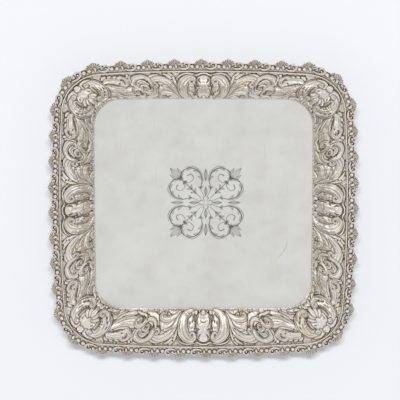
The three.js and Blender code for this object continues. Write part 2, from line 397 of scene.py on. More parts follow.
def blurred(values, cells):
    """Values softened by a bell curve that many cells wide, as if mirrored at the edges."""
    reach = max(1, int(3 * cells))
    bell = np.exp(-0.5 * (np.arange(-reach, reach + 1) / cells) ** 2)
    bell /= bell.sum()
    for axis in (0, 1):
        padding = [(reach, reach) if i == axis else (0, 0) for i in (0, 1)]
        padded = np.pad(values, padding, mode="reflect")
        spots = [np.arange(i, i + values.shape[axis]) for i in range(len(bell))]
        values = sum(w * np.take(padded, spot, axis=axis) for w, spot in zip(bell, spots))
    return values


def sampled(drawing, layer, x, y):
    """A layer's values at places between its cells."""
    values = drawing[layer]
    i = np.clip(x / drawing["cell"], 0, values.shape[1] - 1.001)
    j = np.clip(y / drawing["cell"], 0, values.shape[0] - 1.001)
    i0, j0 = i.astype(int), j.astype(int)
    u, v = i - i0, j - j0
    near = values[j0, i0] * (1 - u) + values[j0, i0 + 1] * u
    far = values[j0 + 1, i0] * (1 - u) + values[j0 + 1, i0 + 1] * u
    return near * (1 - v) + far * v


# The ornament's drawing is half of one side, from the shield at the side's middle to the shield on
# the corner, with a C-scroll beside each and acanthus leaves between. Every side holds the same half
# turned both ways. A place is the distance along the seam and the share of the way out to it.
RIM_DEPTH = 36.0  # from the panel to the seam, measured over the sheet
RIM_CELL = 0.2
PEARL_RISE = 0.68  # of its radius
ornament = blank(seam_length, RIM_DEPTH, RIM_CELL)


def chase(places, half, rise, **shape):
    """A stroke on the ornament's drawing."""
    stroke(ornament, [(along, out * RIM_DEPTH) for along, out in places], half, rise, **shape)


def vein(places, half=(0.2, 0.5, 0.2), depth=0.45):
    """A crease tooled into a leaf."""
    chase(places, half, -depth, back=2)


def pearl(along, out, radius):
    """A small round boss."""
    chase([(along, out), (along + 0.05, out)], radius, PEARL_RISE * radius, back=2)


def rim_fillers():
    """Small low leaves that show in the gaps between the larger forms."""
    chase([(31, 0.93), (28.9, 0.82), (27.4, 0.66), (26.8, 0.48)], [1.6, 2.0, 1.5, 0.6], 0.9)
    chase([(36.2, 0.93), (33, 0.87), (30.6, 0.76), (29.4, 0.64)], [0.9, 1.7, 1.4, 0.5], 1.0)
    chase([(69, 0.92), (70.6, 0.8), (69.8, 0.64)], [1.4, 1.5, 0.7], 0.8)
    chase([(47.0, 0.38), (50.4, 0.25), (56, 0.15), (63, 0.1)], [1.8, 3.4, 2.4, 0.6], 0.7, back=4)
    chase([(86, 0.09), (91.6, 0.2), (96.6, 0.26), (99.4, 0.2)], [0.8, 2.4, 2.0, 0.8], 0.9, flutes=1)
    chase([(96, 0.08), (101.6, 0.1), (107, 0.06)], [0.7, 1.5, 0.7], 0.8)
    pearl(51.6, 0.06, 1.0)
    pearl(72.4, 0.53, 0.9)


CURLED = (0.0, 0.1, 0.4, 0.5, 0.5)  # flutes that begin smooth and deepen into the curl


def first_leaf():
    """Two leaves that curl over, a smooth lobe in their fork, and a low leaf along the panel."""
    chase([(23, 0.045), (29, 0.1), (34.6, 0.1), (39.6, 0.055)], [0.7, 1.9, 1.7, 0.6], 0.9)
    chase([(29, 0.25), (36, 0.54), (43, 0.6)], [2.0, 4.6, 3.0], 0.8, line=0, back=5)
    chase(
        [(26, 0.12), (31, 0.3), (36, 0.43), (40.6, 0.47), (43.6, 0.38), (47.8, 0.15)],
        [1.0, 3.2, 4.6, 3.8, 2.6, 0.7],
        [1.1, 1.6, 1.3],
        back=2.6,
    )
    vein([(31.5, 0.39), (36, 0.5), (40.6, 0.53)])
    vein([(34.4, 0.37), (38.4, 0.42), (42.2, 0.42)], (0.15, 0.3, 0.15), 0.3)
    chase(
        [(25, 0.09), (27.8, 0.3), (31, 0.53), (36, 0.71), (43, 0.79), (48.8, 0.73), (50.8, 0.61)]
        + [(48.8, 0.53), (45.4, 0.555), (45.2, 0.63), (47.2, 0.65)],
        [0.9, 1.9, 2.9, 3.9, 4.1, 3.3, 2.6, 2.1, 1.6, 1.3, 1.0],
        [1.2, 2.1, 2.4],
        flutes=3,
        flute=CURLED,
    )
    vein([(29, 0.46), (32.0, 0.6), (36.6, 0.72)], (0.15, 0.4, 0.15))
    vein([(31.6, 0.5), (33.4, 0.545)], (0.5, 0.5), 0.6)
    chase([(41.4, 0.91), (46.6, 0.9), (51.6, 0.81), (53.6, 0.66)], [0.5, 1.0, 1.1, 0.6], 1.1)
    chase(
        [(26, 0.07), (31, 0.2), (37, 0.27), (42.6, 0.275)]
        + [(46.0, 0.21), (45.2, 0.13), (42.4, 0.12), (41.6, 0.17)],
        [0.8, 2.0, 2.8, 2.8, 2.2, 1.7, 1.3, 1.0],
        [1.1, 1.9, 2.1],
        flutes=2,
        flute=CURLED,
    )


def arch():
    """A small leafy arch, and a curl that turns back under it."""
    chase([(57, 0.56), (61, 0.6)], [3.6, 3.6], 0.5, line=0, back=5)
    chase([(55, 0.6), (58.6, 0.7), (62, 0.66), (63.4, 0.55)], [1.6, 2.5, 2.0, 1.0], 1.3, flutes=1)
    chase(
        [(50.6, 0.6), (52.2, 0.77), (56.6, 0.86), (62.4, 0.83), (66.6, 0.72), (66.8, 0.6), (64.2, 0.545)]
        + [(62.4, 0.6), (63.6, 0.66)],
        [1.7, 2.4, 2.6, 2.7, 2.6, 2.1, 1.6, 1.3, 0.9],
        [1.6, 2.1, 2.1],
        flutes=2,
        flute=[0.2, 0.4, 0.5],
    )
    chase([(66.6, 0.9), (69.2, 0.78), (69.4, 0.62), (68.2, 0.54)], [0.5, 1.2, 1.3, 0.6], 1.1)
    chase(
        [(48.8, 0.5), (50.6, 0.37), (55.2, 0.285), (60.0, 0.32), (62.0, 0.43), (60.8, 0.53), (57.6, 0.575)]
        + [(55.4, 0.51), (56.6, 0.44), (59, 0.45)],
        [1.0, 1.9, 2.3, 2.1, 1.9, 1.7, 1.4, 1.2, 1.1, 0.9],
        [1.3, 1.9, 2.0],
        flutes=1,
        flute=[0.1, 0.45],
    )
    chase([(52.6, 0.44), (54.2, 0.38), (57, 0.37)], [0.9, 1.2, 0.7], 1.3)
    pearl(58.4, 0.512, 1.0)


def broad_leaf():
    """The long smooth leaf that runs from the corner's shield and ends in a curl."""
    chase([(94, 0.4), (88, 0.24), (80, 0.155), (71, 0.1)], [1.2, 2.6, 2.8, 1.0], [1.1, 1.5, 1.1], lobes=4)
    chase(
        [(94, 0.57), (88.5, 0.44), (80, 0.37), (72, 0.37), (66.5, 0.43)],
        [2.0, 4.8, 6.2, 5.4, 2.6],
        [1.5, 2.1, 1.7],
        back=2.3,
    )
    vein([(91, 0.45), (82, 0.31), (72, 0.29)], (0.15, 0.42, 0.2), 0.4)
    vein([(89, 0.4), (82, 0.25), (74, 0.22)], (0.15, 0.4, 0.2), 0.4)
    vein([(86, 0.43), (79, 0.37), (71, 0.37)], (0.1, 0.28, 0.15), 0.2)
    vein([(90, 0.52), (82, 0.44), (74, 0.45)], (0.1, 0.26, 0.15), 0.2)
    vein([(87.8, 0.25), (85.0, 0.21)], (0.5, 0.5), 0.6)
    chase([(92, 0.63), (84.6, 0.545), (77.4, 0.535), (72.6, 0.62)], [0.6, 1.1, 1.3, 0.5], 1.9, line=0.3)
    chase(
        [(61.4, 0.27), (62.8, 0.4), (66.3, 0.465), (70, 0.405), (69.6, 0.3), (66.6, 0.28), (66.2, 0.345)],
        [1.2, 2.1, 2.5, 2.3, 1.9, 1.5, 1.1],
        [1.3, 2.0, 2.2],
        flutes=2,
        flute=[0.1, 0.4, 0.5],
    )
    chase([(61.0, 0.26), (63.4, 0.185), (68.6, 0.15), (74.5, 0.1)], [0.6, 1.4, 1.3, 0.5], 1.3)


def upper_leaf():
    """The fluted leaf above the broad one, with three leaflets towards the border."""
    for along, out in ((79.6, 0.9), (84.4, 0.91), (89.2, 0.9)):
        chase([(along + 5, out - 0.1), (along + 2.2, out - 0.035), (along, out)], [1.0, 1.6, 0.7], 1.4)
    chase(
        [(94.3, 0.7), (89, 0.75), (82, 0.72), (76.5, 0.635), (72.8, 0.68), (72.4, 0.79), (75.6, 0.865)]
        + [(79, 0.81), (78.3, 0.74), (75.9, 0.745)],
        [1.4, 3.4, 4.2, 3.4, 2.5, 2.3, 2.1, 1.8, 1.4, 1.0],
        [1.4, 2.1, 2.3],
        flutes=3,
        flute=[0.05, 0.2, 0.5, 0.5, 0.5],
    )
    vein([(92, 0.78), (86, 0.81), (81.6, 0.8)], (0.15, 0.4, 0.15), 0.4)


def corner_shield():
    """Half of the shield on the corner: a smooth boss with a five-lobed crown, and a scrolled ear."""
    chase([(107, 0.66), (107.4, 0.5), (108.8, 0.34)], [3.4, 3.8, 3.0], 0.6, flutes=1, flute=0.4, line=0)
    # The boss, and half of the crown.
    chase([(118, 0.42), (118, 0.6), (118, 0.74)], [7.8, 8.6, 6.4], [1.3, 1.7, 1.5], back=5)
    chase([(115.0, 0.54), (112.8, 0.49), (110.8, 0.45)], [0.9, 2.1, 1.9], [1.7, 2.1])
    chase([(116.2, 0.49), (114.8, 0.41), (113.2, 0.31)], [1.0, 2.4, 2.1], [1.7, 2.2])
    chase([(118, 0.46), (118, 0.37), (118, 0.26)], [1.2, 2.6, 2.3], [1.7, 2.3])
    vein([(111.4, 0.62), (112.6, 0.655)], (0.5, 0.6), 0.6)
    # The ear: smooth, creased along its outer edge, and notched along its inner one.
    chase(
        [(113.0, 0.89), (106.8, 0.835), (102.0, 0.72), (100.2, 0.56)]
        + [(101.6, 0.4), (105.6, 0.285), (109.6, 0.22)],
        [2.0, 3.6, 5.2, 6.0, 5.6, 4.4, 2.6],
        [1.7, 2.2, 1.9],
        back=3,
    )
    vein([(107.4, 0.915), (100.2, 0.835), (96.2, 0.68), (95.9, 0.5), (98.6, 0.33), (104.6, 0.2)])
    vein([(104.8, 0.85), (100.8, 0.77), (98.6, 0.66)], (0.15, 0.35, 0.15), 0.3)
    vein([(98.0, 0.6), (98.0, 0.53)], (0.5, 0.6), 0.7)
    vein([(99.4, 0.46), (101.0, 0.41)], (0.5, 0.6), 0.7)
    vein([(101.4, 0.64), (101.0, 0.55), (102.4, 0.48)], (0.2, 0.4, 0.2), 0.5)
    for along, out in ((103.6, 0.6), (103.6, 0.53), (104.6, 0.465), (106.4, 0.41)):
        vein([(along, out), (along + 1.4, out - 0.035), (along + 3.2, out - 0.02)])
    chase([(104.4, 0.64), (105.8, 0.73), (108.8, 0.71)], [0.5, 1.3, 0.8], 2.0)
    # The curls at the ear's foot and top, and the pearls.
    chase(
        [(100.4, 0.37), (103.6, 0.25), (108.0, 0.185), (112.0, 0.22)]
        + [(111.8, 0.3), (108.6, 0.315), (108.4, 0.265)],
        [1.2, 2.2, 2.3, 2.1, 1.7, 1.4, 1.0],
        [1.6, 2.3, 2.3],
        flutes=2,
        flute=[0.1, 0.4, 0.5],
    )
    vein([(97.8, 0.29), (102.8, 0.17), (108.6, 0.1)], (0.2, 0.4, 0.2), 0.4)
    chase([(103.6, 0.91), (109.4, 0.925), (114.2, 0.87), (113.4, 0.79)], [0.8, 1.5, 1.8, 1.4], 2.3)
    pearl(109.9, 0.8, 2.5)
    vein([(108.4, 0.79), (109.4, 0.825), (110.9, 0.81)], (0.2, 0.35, 0.3), 0.5)
    pearl(118, 0.87, 3.3)
    chase([(113.2, 0.1), (115.4, 0.16), (118, 0.14)], [1.2, 1.9, 1.8], 1.7)
    pearl(110.6, 0.09, 1.5)
    chase([(102.6, 0.12), (105.6, 0.11), (108.0, 0.14)], [0.6, 1.3, 0.8], 1.2)


def middle_shield():
    """Half of the shield at the side's middle: a smooth bulb under a small cap, on a row of pearls."""
    chase(
        [(0, 0.22), (0, 0.31), (0, 0.4), (0, 0.5), (0, 0.6), (0, 0.69)],
        [5.6, 8.6, 7.8, 5.8, 6.4, 6.6],
        [1.2, 1.7, 1.4, 1.7],
        back=3.2,
    )
    vein([(-0.4, 0.36), (2.0, 0.35), (3.4, 0.3)], (0.4, 0.4, 0.2), 0.4)
    vein([(5.8, 0.19), (7.2, 0.28), (6.4, 0.4), (4.4, 0.46)], (0.3, 0.8, 0.5, 0.2), 0.5)
    vein([(3.0, 0.65), (4.6, 0.72), (4.0, 0.79)], (0.5, 1.1, 0.5), 0.35)
    vein([(5.8, 0.5), (4.2, 0.535)], (0.9, 0.5), 0.6)
    chase(
        [(-1, 0.935), (2.6, 0.93), (5.6, 0.885), (8.6, 0.9), (10.4, 0.935)],
        [1.0, 1.1, 1.0, 0.8, 0.5],
        1.6,
    )
    pearl(0, 0.1, 2.5)
    pearl(8.3, 0.1, 2.2)
    pearl(4.4, 0.07, 1.0)


def deep_pits():
    """Single deep blows of a narrow punch, where leaves part and curls close: the darkest marks."""
    for along, out in (
        [(28.2, 0.85), (29.2, 0.76), (40.4, 0.56), (43.4, 0.12), (52.6, 0.56), (64.2, 0.22)]
        + [(68.6, 0.38), (74.4, 0.7), (79.6, 0.68), (89.4, 0.6), (103, 0.33)]
    ):
        vein([(along, out), (along + 1.1, out - 0.02)], (0.45, 0.6), 0.7)


def middle_scroll():
    """The great C-scroll beside the middle shield, and the webbed leaf inside it."""
    chase([(13, 0.1), (16.6, 0.3), (16.6, 0.5), (14, 0.66)], [3.0, 4.6, 4.6, 3.0], 0.9, line=0, back=4)
    chase(
        [(15.6, 0.12), (14.0, 0.25), (12.8, 0.4), (12.2, 0.54)],
        [1.6, 3.6, 4.4, 3.4],
        [1.1, 1.4, 1.3],
        lobes=3,
        back=4,
    )
    vein([(11.4, 0.3), (12.0, 0.35)], (0.5, 0.5), 0.6)
    vein([(14.2, 0.34), (14.4, 0.39)], (0.4, 0.5), 0.6)
    vein([(10.6, 0.46), (11.8, 0.5), (13.0, 0.48)], (0.2, 0.4, 0.2), 0.5)
    vein([(13.6, 0.53), (15.2, 0.43), (15.4, 0.3)], (0.15, 0.35, 0.15), 0.3)
    for along, out in ((12.6, 0.14), (13.8, 0.17), (15.0, 0.21)):
        vein([(along, out), (along + 1.2, out + 0.04), (along + 1.3, out + 0.08)])
    chase(
        [(12, 0.035), (17.4, 0.1), (21.2, 0.22), (21.7, 0.42), (20.0, 0.61), (16.2, 0.755), (11.8, 0.815)]
        + [(8.9, 0.74), (9.5, 0.64), (12.0, 0.625), (13.4, 0.68), (12.0, 0.725)],
        [0.8, 2.4, 4.2, 5.0, 5.2, 4.4, 3.2, 2.3, 1.7, 1.4, 1.2, 1.0],
        [1.4, 2.0, 2.3, 2.2],
        flutes=3,
        flute=[0.0, 0.0, 0.15, 0.4, 0.5, 0.5, 0.5],
    )
    vein([(24.2, 0.3), (25.0, 0.44), (23.8, 0.6)], (0.15, 0.35, 0.15), 0.3)
    chase([(8.6, 0.9), (14.6, 0.935), (20.8, 0.885), (25.8, 0.75)], [0.5, 0.9, 1.0, 0.4], 1.1)


for part in (
    rim_fillers,
    first_leaf,
    arch,
    broad_leaf,
    upper_leaf,
    corner_shield,
    middle_shield,
    middle_scroll,
    deep_pits,
):
    part()

# The ground between the ornament is matted with small round punches, and sinks a little. The
# ornament keeps the faint unevenness of the punches that shaped it.
PUNCH_CELLS, DENT_CELLS = 1.7, 4  # the breadth of a punch mark and of a dent, in the drawing's cells
GROUND_SINK, PUNCH_DEPTH, DENT_DEPTH = 0.2, 0.14, 0.075
LEAST_TARNISH, LINE_TARNISH, HOLLOW_TARNISH_AND_SHADE = 0.05, 0.95, 0.45
GROUND_TARNISH, PUNCH_TARNISH, DEEPEST_PUNCH = 0.08, 0.2, 1.5
BORDER_SHADE, BORDER_SHADE_START, BORDER_SHADE_FULL = 0.22, 0.9, 0.96
random = np.random.default_rng(11)
punches = blurred(random.standard_normal(ornament["height"].shape), PUNCH_CELLS)
punches /= punches.std()
dents = blurred(random.standard_normal(ornament["height"].shape), DENT_CELLS)
ground = ornament["cover"] < 0.5
matting = np.where(ground, PUNCH_DEPTH * punches - GROUND_SINK, DENT_DEPTH * dents / dents.std())
ornament["height"] = blurred(ornament["height"] + matting, 0.8)
# The hollow, how far the surface lies below its local mean, darkens the metal: partly tarnish, partly
# painted shade in the recesses.
hollow = np.clip(blurred(ornament["height"], 5) - ornament["height"], 0, None)
out = ornament["y"][:, None] / RIM_DEPTH
beside_border = ground * np.clip((out - BORDER_SHADE_START) / (BORDER_SHADE_FULL - BORDER_SHADE_START), 0, 1)
in_punches = GROUND_TARNISH + PUNCH_TARNISH * np.clip(-punches, 0, 2) + (punches < -DEEPEST_PUNCH)
ornament["tarnish_and_shade"] = np.clip(
    LEAST_TARNISH
    + LINE_TARNISH * blurred(ornament["lines"], 0.8)
    + HOLLOW_TARNISH_AND_SHADE * hollow
    + blurred(ground * in_punches + BORDER_SHADE * beside_border, 0.7),
    0,
    1,
)
ornament["reverse"] = blurred(ornament["height"], 4)

# The rim is four sides that meet on the corners' diagonals. The front carries the ornament and the
# back its soft reverse, one gauge below.
COLUMNS = 650
FRONT_ROWS = 104
BACK_ROWS = 24
BARE_EDGE = 1.2
BACK_TARNISH, SEAM_TARNISH = 0.25, 0.5
WANDER_LENGTHS, WANDER_SHARE = (31.0, 17.0, 9.0), 0.012
WELD = 0.002


def rolled_grid(name, columns, rows, place):
    """A closed piece from a grid rolled into a tube and stopped at both ends.

    place gives the points, in millimetres, and the tarnish and painted shade for the shares along and round
    it.
    """
    bm = bmesh.new()
    bmesh.ops.create_grid(bm, x_segments=columns - 1, y_segments=rows - 1, size=0.5)
    mesh = bpy.data.meshes.new(name)
    bm.to_mesh(mesh)
    flat = np.empty(len(mesh.vertices) * 3)
    mesh.vertices.foreach_get("co", flat)
    along, around = flat.reshape(-1, 3)[:, :2].T + 0.5
    points, tarnish_and_shade = place(along, around)
    mesh.vertices.foreach_set("co", (points * MM).ravel())
    mesh.attributes.new("tarnish_and_shade", "FLOAT", "POINT").data.foreach_set("value", tarnish_and_shade.ravel())
    bm.clear()
    bm.from_mesh(mesh)
    bmesh.ops.remove_doubles(bm, verts=bm.verts, dist=WELD * MM)
    ends = [edge for edge in bm.edges if edge.is_boundary]
    bmesh.ops.holes_fill(bm, edges=ends, sides=0)
    for edge in ends:
        edge.smooth = False
    bmesh.ops.recalc_face_normals(bm, faces=bm.faces)
    for face in bm.faces:
        face.smooth = True
    bm.to_mesh(mesh)
    bm.free()
    piece = bpy.data.objects.new(name, mesh)
    bpy.context.collection.objects.link(piece)
    return piece


def turned(points, quarters):
    """Points turned about the salver's upright axis by quarter turns."""
    c, s = round(math.cos(quarters * math.pi / 2)), round(math.sin(quarters * math.pi / 2))
    return points @ np.array([[c, s, 0], [-s, c, 0], [0, 0, 1]], float)


flange_out = 1 + FLANGE_WIDTH / RIM_WIDTH
front = np.linspace(0, flange_out, FRONT_ROWS)
back = np.linspace(flange_out, 0, BACK_ROWS)
row_out = np.concatenate([front, back, [0]])
row_back = np.concatenate([np.zeros(FRONT_ROWS), np.ones(BACK_ROWS), [0]])


def hand_wander(along, rng):
    """How far the chaser's hand strays from the drawing, in millimetres, nothing at the shields."""
    stray = np.zeros(along.shape)
    for length in WANDER_LENGTHS:
        wave = np.sin(2 * math.pi * along / length + rng.uniform(0, 2 * math.pi))
        stray += WANDER_SHARE * length * wave
    return stray * np.sin(math.pi * np.abs(along) / seam_length)


def rim_side(quarters, rng):
    """The place function of one side, turned from the right-hand one."""

    def place(along_share, around_share):
        along = (2 * along_share - 1) * seam_length
        row = np.rint(around_share * (len(row_out) - 1)).astype(int)
        out, is_back = row_out[row], row_back[row] > 0.5
        drawn_along = np.abs(along + hand_wander(along, rng))
        drawn_out = out * RIM_DEPTH
        raised = sampled(ornament, "height", drawn_along, drawn_out)
        reverse = sampled(ornament, "reverse", drawn_along, drawn_out)
        tarnish_and_shade = sampled(ornament, "tarnish_and_shade", drawn_along, drawn_out)
        kept = np.clip(drawn_out / BARE_EDGE, 0, 1) * np.clip((RIM_DEPTH - drawn_out) / BARE_EDGE, 0, 1)
        lift = np.where(is_back, kept * reverse - SHEET_GAUGE, kept * raised)
        points = rim_surface(along, out) + lift[:, None] * rim_facing(along, out)
        tarnish_and_shade = np.where(is_back, BACK_TARNISH, tarnish_and_shade * kept + SEAM_TARNISH * (out > 0.99))
        return turned(points, quarters), tarnish_and_shade

    return place


rng = np.random.default_rng(3)
for quarters, side in enumerate(("right", "back", "left", "front")):
    rim = rolled_grid(f"rim_{side}", COLUMNS, len(row_out), rim_side(quarters, rng))
    rim.data.materials.append(chased_silver)
    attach(rim, "root")
    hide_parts("salver_sheet")


# ---------------------------------------------------------------- the panel
# The flat middle of the sheet, smooth and satin. A rosette of leafy scrolls is cut into it with a
# graver: the hairlines swell and thin as the tool is rolled. Its edge tucks under the rim's foot.

# One eighth of the rosette is drawn, and the others are its turns and mirror images.
DEVICE_SIZE = 70.0
DEVICE_CENTRE = (2.0, 2.0)
DEVICE_CELL = 0.14
CUT_DEPTH = 0.2
LEAF_DEPTH = 0.14
LINE_WEIGHT = 1.2  # the lines below are all this much wider
HATCH_HALF = (0.12, 0.22, 0.12)
LEAF_AHEAD, LEAF_ASIDE, LEAF_BULGE = 0.75, 0.6, 0.34
device = blank(DEVICE_SIZE, DEVICE_SIZE, DEVICE_CELL)


def engrave(points, half, depth=CUT_DEPTH):
    """Cuts a line, from the rosette's centre, and its seven copies."""
    places = np.array(points, float)
    half = LINE_WEIGHT * np.array(half)
    for quarter in range(4):
        places = np.stack([-places[:, 1], places[:, 0]], axis=1)
        for way in (1, -1):
            stroke(device, places * (way, 1) + DEVICE_SIZE / 2, half, -depth, back=1.3)


def engraved_leaf(root, tip, bulge):
    """A leaf of hatching, from its straight side to the side that bulges."""
    root, tip = np.array(root, float), np.array(tip, float)
    across = np.array([root[1] - tip[1], tip[0] - root[0]])
    for share in (0.0, 0.5, 1.0):
        middle = root * 0.5 + tip * 0.5 + across * bulge * share
        engrave([root, middle, tip], HATCH_HALF, LEAF_DEPTH)


def leafy_stem(points, half, shares, length, sides=(1, -1)):
    """A stem with leaves at some shares of its length."""
    engrave(points, half)
    path = smooth_line(points)
    for share in shares:
        k = int(share * (len(path) - 2))
        ahead = path[k + 1] - path[k]
        ahead /= np.linalg.norm(ahead)
        across = np.array([-ahead[1], ahead[0]])
        for side in sides:
            tip = path[k] + length * (LEAF_AHEAD * ahead + LEAF_ASIDE * side * across)
            engraved_leaf(path[k], tip, -LEAF_BULGE * side)


def great_scroll():
    scroll = [(1.2, 5), (4.4, 13), (3.2, 21), (6.2, 29)]
    scroll += [(14.0, 32.6), (21.4, 28.8), (21.6, 21.6), (15.8, 18.6)]
    scroll += [(11.2, 22.0), (12.8, 26.4), (16.4, 25.4)]
    swell = [0.18, 0.3, 0.45, 0.6, 0.5, 0.36, 0.3, 0.26, 0.24, 0.34, 0.5]
    leafy_stem(scroll, swell, (0.2, 0.29, 0.38, 0.47), 6.4, (-1,))
    leafy_stem(scroll, 0.2, (0.1, 0.56, 0.64), 3.8)
    engrave([(2.0, 20), (4.2, 28.6), (10.8, 33.8), (18.4, 33.2)], [0.14, 0.24, 0.3, 0.14])


def corner_spray():
    leafy_stem([(4, 4), (12, 12), (20, 20), (25.5, 25.5)], [0.2, 0.34, 0.34, 0.2], (0.2, 0.36), 5.4)
    engraved_leaf((22, 22), (32.2, 32.2), 0.2)
    engraved_leaf((22.4, 21.6), (32.4, 26.0), -0.2)


def middle_bud():
    engraved_leaf((0, 20), (0, 31.4), 0.14)
    engraved_leaf((0, 6), (0, 15), 0.16)
    engrave([(0.6, 1.4), (2.3, 4.2), (0.3, 6.4)], [0.14, 0.4, 0.14])


for part in (great_scroll, corner_spray, middle_bud):
    part()
device["lines"] = blurred(device["lines"], 1.0)
device["height"] = blurred(device["height"], 0.8)
for layer in ("height", "lines"):
    device[layer][[0, -1], :] = 0
    device[layer][:, [0, -1]] = 0

FINE_HALF = DEVICE_SIZE / 2 + 1
FINE_LINES = 270
COARSE_LINES = 16
SQUARE_SHARE = 0.42  # of the way to the edge, within which the grid stays square
TUCK = 0.8
PANEL_TARNISH, CUT_TARNISH = 0.08, 0.88
SATIN, SATIN_YELLOWED = (0.83, 0.822, 0.792), (0.80, 0.785, 0.735)
GREY_TARNISH = (0.13, 0.12, 0.105)
satin_silver = silver("satin_silver", SATIN, SATIN_YELLOWED, GREY_TARNISH, 0.40, 0.55, 0.35 * MM, 0.004 * MM)

panel_lines = np.concatenate(
    [
        np.linspace(-PANEL_HALF, DEVICE_CENTRE[0] - FINE_HALF, COARSE_LINES, endpoint=False),
        np.linspace(DEVICE_CENTRE[0] - FINE_HALF, DEVICE_CENTRE[0] + FINE_HALF, FINE_LINES),
        np.linspace(DEVICE_CENTRE[0] + FINE_HALF, PANEL_HALF, COARSE_LINES + 1)[1:],
    ]
)


def spun(flat, c, s):
    """Flat places turned about the middle, by an angle with that cosine and sine."""
    return np.stack([flat[:, 0] * c - flat[:, 1] * s, flat[:, 0] * s + flat[:, 1] * c], axis=-1)


def panel_place(x, y, tuck):
    """A square grid's places, bent outside its middle to the panel's bowed sides and round corners."""
    side = np.select([(x >= np.abs(y)), (y >= np.abs(x)), (-x >= np.abs(y))], [0, 1, 2], 3)
    c, s = np.cos(side * math.pi / 2).round(), np.sin(side * math.pi / 2).round()
    out, over = x * c + y * s, y * c - x * s
    edge, facing = panel_at(over / np.maximum(out, 1e-9) * panel_length)
    edge = edge + facing * tuck
    share = (out / PANEL_HALF)[:, None]
    bent = np.clip((share - SQUARE_SHARE) / (1 - SQUARE_SHARE), 0, 1)
    return spun(np.stack([out, over], axis=-1) * (1 - bent) + edge * share * bent, c, s)


def panel_piece():
    """A plate from a fine grid: its edge is drawn down into walls, and closed below."""
    bm = bmesh.new()
    bmesh.ops.create_grid(bm, x_segments=len(panel_lines) - 1, y_segments=len(panel_lines) - 1, size=0.5)
    rim_edges = [edge for edge in bm.edges if edge.is_boundary]
    walls = bmesh.ops.extrude_edge_only(bm, edges=rim_edges)["geom"]
    low_edges = [item for item in walls if isinstance(item, bmesh.types.BMEdge) and item.is_boundary]
    for vert in {vert for edge in low_edges for vert in edge.verts}:
        vert.co.z = -1
    bmesh.ops.holes_fill(bm, edges=low_edges, sides=0)
    bmesh.ops.recalc_face_normals(bm, faces=bm.faces)
    for edge in rim_edges + low_edges:
        edge.smooth = False
    for face in bm.faces:
        face.smooth = True
    mesh = bpy.data.meshes.new("panel")
    bm.to_mesh(mesh)
    bm.free()
    flat = np.empty(len(mesh.vertices) * 3)
    mesh.vertices.foreach_get("co", flat)
    grid = flat.reshape(-1, 3)
    low = grid[:, 2] < -0.5
    lines = np.rint((grid[:, :2] + 0.5) * (len(panel_lines) - 1)).astype(int)
    x, y = panel_lines[lines[:, 0]], panel_lines[lines[:, 1]]
    place = panel_place(x, y, np.where(low, 0.0, TUCK)[:, None])
    drawn_x = place[:, 0] - DEVICE_CENTRE[0] + DEVICE_SIZE / 2
    drawn_y = place[:, 1] - DEVICE_CENTRE[1] + DEVICE_SIZE / 2
    cut = sampled(device, "height", drawn_x, drawn_y)
    tarnish_and_shade = PANEL_TARNISH + CUT_TARNISH * sampled(device, "lines", drawn_x, drawn_y)
    height = np.where(low, PANEL_TOP - SHEET_GAUGE, PANEL_TOP + cut)
    points = np.concatenate([place, height[:, None]], axis=1) * MM
    mesh.vertices.foreach_set("co", points.ravel())
    mesh.attributes.new("tarnish_and_shade", "FLOAT", "POINT").data.foreach_set("value", tarnish_and_shade)
    piece = bpy.data.objects.new("panel", mesh)
    bpy.context.collection.objects.link(piece)
    return piece


panel = panel_piece()
panel.data.materials.append(satin_silver)
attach(panel, "root")
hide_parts("salver_sheet")

# ---------------------------------------------------------------- the cast border
# A shell, a scroll and beads, cast in four lengths of ten repeats, fettled and soldered to the
# flange. Each length wraps a corner. The plain fillet along its inner edge hides the joint.
REPEATS = 10
REPEAT = 2 * seam_length / REPEATS
REPEAT_OFFSET = 2.0  # the shells stand this far anticlockwise of the sides' middles
SOLDER_JOINT = 0.1
CAST_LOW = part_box("border_casting_right_to_back")[0][2] / MM
CAST_GROUND = 1.0
CAST_INNER = 0.75
CAST_DEPTH = 13.0
SHELL_HUB = 5.3
SHELL_RIB = 6.1
SHELL_FAN = math.radians(19)
SHELL_REACH = 11.42
SHELL_SPREAD = 7.0  # each way from the shell's middle
SHELL_FULLNESS = 0.8  # 1 for a straight-sided shell, and less for a rounder one
SHELL_NOTCH = 0.75
WEB_REACH = 7.1
SCROLL_MIDDLE = -10.6
SCROLL_SWELL = 1.5
SCROLL_SPREAD = 2.6
repeat = blank(REPEAT, CAST_DEPTH, 0.1)


def mould(points, half, rise, line_width=0.5, **shape):
    """A stroke on the repeat: anticlockwise from the shell's middle, and outwards from the seam."""
    for copy in (-1, 0, 1):
        places = [(x + (copy + 0.5) * REPEAT, reach + CAST_INNER) for x, reach in points]
        stroke(repeat, places, half, rise, line_width=line_width, **shape)


def cast_fillet():
    """The plain round rib along the inner edge."""
    mould([(-REPEAT / 2, 0.1), (0, 0.1), (REPEAT / 2, 0.1)], 0.8, 1.9, back=2.2, line=0.6)


def cast_scroll():
    """A C-scroll round a bead, with another bead and a small leaf between it and the shell."""
    mould([(-3.4, 5.0), (-4.8, 7.0), (-6.6, 8.0), (-8.6, 8.4)], [0.5, 1.0, 0.8, 0.4], 1.2)
    mould(
        [(-4.0, 3.4), (-6.6, 2.4), (-10.0, 2.5), (-12.6, 4.2)]
        + [(-12.9, 6.4), (-11.2, 7.7), (-9.0, 7.2), (-8.6, 5.8)],
        [0.7, 1.0, 1.2, 1.2, 1.15, 1.05, 0.85, 0.6],
        [1.3, 2.0, 2.0],
        flutes=1,
        flute=0.35,
        line=0.6,
    )
    mould([(-10.4, 5.0), (-10.3, 5.1)], 1.0, 1.7, back=2, line=0.5)
    mould([(-6.6, 5.3), (-6.5, 5.4)], 1.35, 2.0, back=2, line=0.5)


